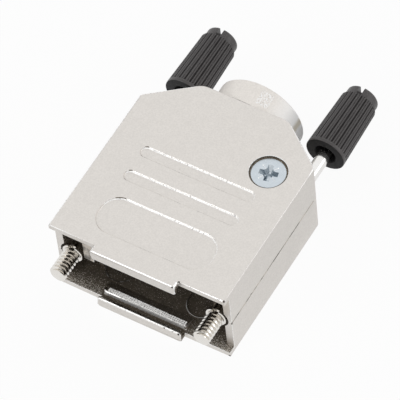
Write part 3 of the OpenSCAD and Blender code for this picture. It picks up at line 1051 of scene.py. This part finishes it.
def model_knob(name, sizes):
    """Knob on the right-hand axis: rim, flutes, rounded plain end, mouth and slot."""
    # depth of the points of one flute, as a share of its full depth
    flute = (0.7, 0.0, 0.12, 1.0, 0.12, 0.0)
    count = sizes.flutes * len(flute)
    front, back = KNOB_LOW.y, KNOB_HIGH.y + sizes.tail
    end_front = back - sizes.end_length
    centre = (JACK_X, 0, AXIS_Z)
    rim_r = KNOB_R + sizes.draft / 2
    taper = 1 - sizes.draft / rim_r
    shoulder = 1 - 0.14 * MM / rim_r
    run_in, run_out = 0.04 * MM, 0.2 * MM  # where the flutes start and end
    lip, mouth_r, mouth_depth = 0.12 * MM, 1.9 * MM, 1.48 * MM
    knob = cylinder(
        name, rim_r, sizes.rim, (JACK_X, front + sizes.rim / 2, AXIS_Z), vertices=count
    )

    def back_face(face):
        return face.normal.y > 0.99 and len(face.verts) == count

    def point_of(vert):
        turn = math.atan2(vert.co.z - AXIS_Z, vert.co.x - JACK_X) / (2 * math.pi) * count
        return round(turn) % len(flute)

    def scale_back(value, point=None):
        """Scales the back face, or one point of each flute on it."""
        mesh = bmesh.from_edit_mesh(knob.data)
        mesh.normal_update()
        cap = next(face for face in mesh.faces if back_face(face))
        chosen = {v.index for v in cap.verts if point is None or point_of(v) == point}
        pick(knob, "VERT", lambda v: v.index in chosen)
        scale((value, 1, value), centre)

    def extrude_back(by):
        pick(knob, "FACE", back_face)
        extrude((0, by, 0))

    edit(knob)
    extrude_back(run_in)
    for point, share in enumerate(flute):
        if share:
            scale_back(1 - share * sizes.flute_depth / rim_r, point)
    extrude_back(end_front - front - sizes.rim - run_in - run_out)
    scale_back(taper)
    extrude_back(run_out)
    scale_back(shoulder)
    extrude_back(0.0)
    for point, share in enumerate(flute):
        radius = (rim_r - share * sizes.flute_depth) * taper * shoulder
        scale_back(sizes.end_radius / radius, point)
    extrude_back(sizes.end_length)
    pick(knob, "EDGE", lambda e: all(v.co.y > back - 0.001 * MM for v in e.verts))
    bevel(sizes.end_round, 5)
    pick(knob, "EDGE", lambda e: all(v.co.y < front + 0.001 * MM for v in e.verts))
    bevel(lip, 3)
    pick(knob, "FACE", lambda f: f.calc_center_median().y < front + 0.001 * MM)
    bpy.ops.mesh.inset(thickness=rim_r - lip - mouth_r)
    bpy.ops.mesh.inset(thickness=lip)
    bpy.ops.transform.translate(value=(0, lip, 0))
    extrude((0, mouth_depth, 0))
    scale((0.85, 1, 0.85), centre)
    done()
    slot = block(
        "slot",
        (JACK_X - sizes.slot_width / 2, back - sizes.slot_depth, AXIS_Z - 4 * MM),
        (JACK_X + sizes.slot_width / 2, back + 1 * MM, AXIS_Z + 4 * MM),
    )
    combine(knob, slot, "DIFFERENCE")
    outward(knob)
    return knob


def knob_skin(face, sizes):
    """The skin of a face of the right-hand knob."""
    y = face.center.y
    reach = math.hypot(face.center.x - JACK_X, face.center.z - AXIS_Z)
    taper = (y - KNOB_LOW.y) / (KNOB_HIGH.y - KNOB_LOW.y) * sizes.draft
    # front face, and the mouth in painted shade
    if face.normal.y < -0.8 or y < KNOB_LOW.y + 1.7 * MM and reach < KNOB_R - 0.1 * MM:
        return MOUTH
    # grooves of the flutes: a darker copy of the plastic, as painted shade
    if (
        KNOB_LOW.y + sizes.rim < y < KNOB_HIGH.y - 0.5 * MM
        and reach < KNOB_R + sizes.draft / 2 - taper - 0.5 * sizes.flute_depth
    ):
        return FLUTE
    return PLASTIC


class OBJECT_OT_hood_knobs(bpy.types.Operator):
    """Knobs: plain rim, flutes, rounded end with a slot, and a mouth round the shank"""

    bl_idname = "object.hood_knobs"
    bl_label = "Knobs"

    def execute(self, context):
        sizes = context.scene.hood_knobs
        knob = model_knob("right_knob_moulded", sizes)
        smooth(knob, 22)
        add_skins(
            knob, black_nylon(sizes.plastic), dull_nylon(sizes.mouth),
            dull_nylon(shade(sizes.plastic, 0.55), "shadowed_flute"),
        )
        for face in knob.data.polygons:
            face.material_index = knob_skin(face, sizes)
        place_both(knob, "knob", "thumbscrew")
        return {"FINISHED"}


# --- shell screws -------------------------------------------------------------


def tapered_bar(name, low, high, foot, shares, turn):
    """A bar whose corners below a height are drawn in, turned about Z."""
    bar = block(name, low, high)
    edit(bar, "VERT")
    pick(bar, "VERT", lambda v: v.co.z < foot)
    scale((*shares, 1))
    done()
    bar.data.transform(Matrix.Rotation(turn, 4, "Z"))
    return bar


def recess_cutter(sizes):
    """Tapered cross with a cone in the middle, its top just above z = 0."""
    tool = cylinder("recess", 0.95 * MM, 1.25 * MM, (0, 0, -0.6 * MM), "Z", 32)
    edit(tool, "VERT")
    pick(tool, "VERT", lambda v: v.co.z < -1.0 * MM)
    scale((0.3, 0.3, 1), (0, 0, -1.2 * MM))
    done()
    half_span, half_arm = sizes.recess_span / 2, sizes.arm_width / 2
    above, half_tick = 0.05 * MM, 0.1 * MM
    for quarter in range(2):
        arm = tapered_bar(
            "arm", (-half_span, -half_arm, -0.85 * MM), (half_span, half_arm, above),
            -0.5 * MM, (0.5, 0.35), sizes.recess_turn + quarter * math.pi / 2,
        )
        combine(tool, arm, "UNION")
    for quarter in range(4):
        tick = tapered_bar(
            "tick", (0.55 * MM, -half_tick, -0.1 * MM), (1.85 * MM, half_tick, above),
            -0.05 * MM, (0.9, 0.3), sizes.recess_turn + math.pi / 4 + quarter * math.pi / 2,
        )
        combine(tool, tick, "UNION")
    return tool


def model_screw(name, sizes):
    """Countersunk screw of the cover, with a cross recess in its head."""
    total = HEAD_HIGH.z - HEAD_LOW.z
    cone = HEAD_R - sizes.shank
    head = HEAD_R - sizes.head_gap
    rim = 0.1 * MM
    tip = 0.3 * MM
    screw = cylinder(name, head, rim, (0, 0, -rim / 2), "Z", 96)
    edit(screw)
    pick(screw, "FACE", lambda f: f.normal.z < -0.9)
    extrude((0, 0, -cone))
    scale((sizes.shank / head, sizes.shank / head, 1))
    extrude((0, 0, cone + rim + tip - total))
    extrude((0, 0, -tip))
    scale((0.8, 0.8, 1))
    pick(screw, "EDGE", lambda e: all(v.co.z > -0.001 * MM for v in e.verts))
    bevel(0.05 * MM, 2)
    done()
    combine(screw, recess_cutter(sizes), "DIFFERENCE")
    outward(screw)
    screw.data.transform(Matrix.Translation((SCREW_X, SCREW_Y, HEAD_HIGH.z)))
    return screw


def screw_skin(face):
    """The skin of a face of the cover screw."""
    depth = HEAD_HIGH.z - face.center.z
    reach = math.hypot(face.center.x - SCREW_X, face.center.y - SCREW_Y)
    # cross recess: a darker copy of the zinc as painted shade; tick marks near the top in white,
    # as a painted glint
    if 0.001 * MM < depth < 1.3 * MM and reach < 1.9 * MM and abs(face.normal.z) < 0.99:
        return TICK if depth < 0.11 * MM and reach > 1.0 * MM else CROSS
    return ZINC


class OBJECT_OT_hood_screws(bpy.types.Operator):
    """Shell screws: countersunk heads with a cross recess and tick marks"""

    bl_idname = "object.hood_screws"
    bl_label = "Shell screws"

    def execute(self, context):
        sizes = context.scene.hood_screws
        skins = (
            blue_zinc(sizes.zinc),
            # painted shade in the cross recess
            blue_zinc(shade(sizes.zinc, 0.8), "blue_zinc_recess_painted_shade", (0.12, 0.2)),
            # white tick marks as a painted glint
            blue_zinc((1.0, 1.0, 1.0), "bright_tick_marks", (0.2, 0.3)),
        )
        screw = model_screw("cover_screw_cross", sizes)
        smooth(screw, 30)
        add_skins(screw, *skins)
        for face in screw.data.polygons:
            face.material_index = screw_skin(face)
        under = copy_piece(screw, "base_screw_cross", TURN_OVER)
        place(under, "base_screw", "hood")
        place(screw, "cover_screw", "hood")
        return {"FINISHED"}


class OBJECT_OT_hood_clamp(bpy.types.Operator):
    """Cable clamp and its two screws, in the same bluish zinc"""

    bl_idname = "object.hood_clamp"
    bl_label = "Cable clamp"

    def execute(self, context):
        zinc = blue_zinc(context.scene.hood_screws.zinc)
        for node in ("cable_clamp", "left_clamp_screw", "right_clamp_screw"):
            part = frame["nodes"][node]
            part.data.materials.clear()
            add_skins(part, zinc)
        return {"FINISHED"}


# --- stage --------------------------------------------------------------------


def floor_material(tone):
    """Pale floor that keeps a soft shadow."""
    camera_share, gloss_share = 0.94, 0.78
    f = Finish("pale_floor")
    f.set(Base_Color=(*tone, 1.0), Roughness=0.9)
    path = f.node("ShaderNodeLightPath").outputs
    seen = f.maths("MAXIMUM", path["Is Camera Ray"], path["Is Transmission Ray"])
    shown = f.maths(
        "MAXIMUM", f.both(seen, camera_share), f.both(path["Is Glossy Ray"], gloss_share)
    )
    glow = f.node("ShaderNodeEmission", {"Color": (1, 1, 1, 1), "Strength": 1.0})
    mixed = f.node(
        "ShaderNodeMixShader",
        {0: shown, 1: f.shader.outputs["BSDF"], 2: glow.outputs["Emission"]},
    )
    f.tree.links.new(mixed.outputs["Shader"], f.output.inputs["Surface"])
    return f.material


def soft_world(fill):
    """White all round where it shows, softer where it only lights."""
    world = bpy.data.worlds.new("studio")
    bpy.context.scene.world = world
    world.use_nodes = True
    tree = world.node_tree
    path = tree.nodes.new("ShaderNodeLightPath").outputs

    def either(a, b):
        node = tree.nodes.new("ShaderNodeMath")
        node.operation = "MAXIMUM"
        tree.links.new(a, node.inputs[0])
        tree.links.new(b, node.inputs[1])
        return node.outputs[0]

    mirrored = either(path["Is Glossy Ray"], path["Is Transmission Ray"])
    level = tree.nodes.new("ShaderNodeMapRange")
    level.inputs["To Min"].default_value = fill
    level.inputs["To Max"].default_value = 1.0
    tree.links.new(either(path["Is Camera Ray"], mirrored), level.inputs["Value"])
    back = tree.nodes["Background"]
    back.inputs["Color"].default_value = (1, 1, 1, 1)
    tree.links.new(level.outputs["Result"], back.inputs["Strength"])


def area_light(name, at, power):
    """A round lamp, half a metre across, that points at the hood."""
    deselect()
    bpy.ops.object.light_add(type="AREA", location=at)
    lamp = bpy.context.object
    lamp.name = name
    lamp.data.shape = "DISK"
    lamp.data.size = 0.5
    lamp.data.energy = power
    direction = Vector(LOOK_AT) - lamp.location
    lamp.rotation_euler = direction.to_track_quat("-Z", "Y").to_euler()


def add_camera():
    bpy.ops.object.camera_add(location=CAMERA_AT)
    camera = bpy.context.object
    forward = Vector(CAMERA_FORWARD).normalized()
    up = Vector(CAMERA_RIGHT).normalized().cross(forward).normalized()
    right = forward.cross(up).normalized()
    turn = Matrix((right, up, -forward)).transposed().to_4x4()
    camera.matrix_world = Matrix.Translation(CAMERA_AT) @ turn
    camera.data.sensor_width = 36
    camera.data.lens = 360
    camera.data.clip_start = 0.05
    camera.data.clip_end = 20
    return camera


class OBJECT_OT_hood_stage(bpy.types.Operator):
    """Pale floor, soft studio light and the camera"""

    bl_idname = "object.hood_stage"
    bl_label = "Stage"

    def execute(self, context):
        stage = context.scene.hood_stage
        deselect()
        bpy.ops.mesh.primitive_plane_add(size=6, location=(0, 0, -0.02 * MM))
        floor = new_piece("floor")
        add_skins(floor, floor_material(stage.floor))
        soft_world(stage.fill)
        area_light("key", (-0.45, -0.75, 0.5), stage.key_power)
        area_light("rim", (0.9, 0.55, 0.45), stage.key_power * 0.5)
        context.scene.camera = add_camera()
        context.scene.view_settings.view_transform = "Standard"
        return {"FINISHED"}


# --- add-on -------------------------------------------------------------------

OPERATORS = (
    OBJECT_OT_hood_shells,
    OBJECT_OT_hood_jackscrews,
    OBJECT_OT_hood_knobs,
    OBJECT_OT_hood_screws,
    OBJECT_OT_hood_clamp,
    OBJECT_OT_hood_stage,
)


class VIEW3D_PT_hood(bpy.types.Panel):
    """Lists the pieces of the hood"""

    bl_label = "D-sub hood"
    bl_idname = "VIEW3D_PT_hood"
    bl_space_type = "VIEW_3D"
    bl_region_type = "UI"
    bl_category = "Hood"

    def draw(self, context):
        for operator in OPERATORS:
            self.layout.operator(operator.bl_idname)


def register():
    for group in GROUPS.values():
        bpy.utils.register_class(group)
    for name, group in GROUPS.items():
        setattr(bpy.types.Scene, name, bpy.props.PointerProperty(type=group))
    for operator in OPERATORS:
        bpy.utils.register_class(operator)
    bpy.utils.register_class(VIEW3D_PT_hood)


def unregister():
    bpy.utils.unregister_class(VIEW3D_PT_hood)
    for operator in reversed(OPERATORS):
        bpy.utils.unregister_class(operator)
    for name, group in reversed(GROUPS.items()):
        delattr(bpy.types.Scene, name)
        bpy.utils.unregister_class(group)


def main():
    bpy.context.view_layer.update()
    register()
    bpy.ops.object.hood_shells()
    bpy.ops.object.hood_jackscrews()
    bpy.ops.object.hood_knobs()
    bpy.ops.object.hood_screws()
    bpy.ops.object.hood_clamp()
    bpy.ops.object.hood_stage()


if __name__ == "__main__":
    main()
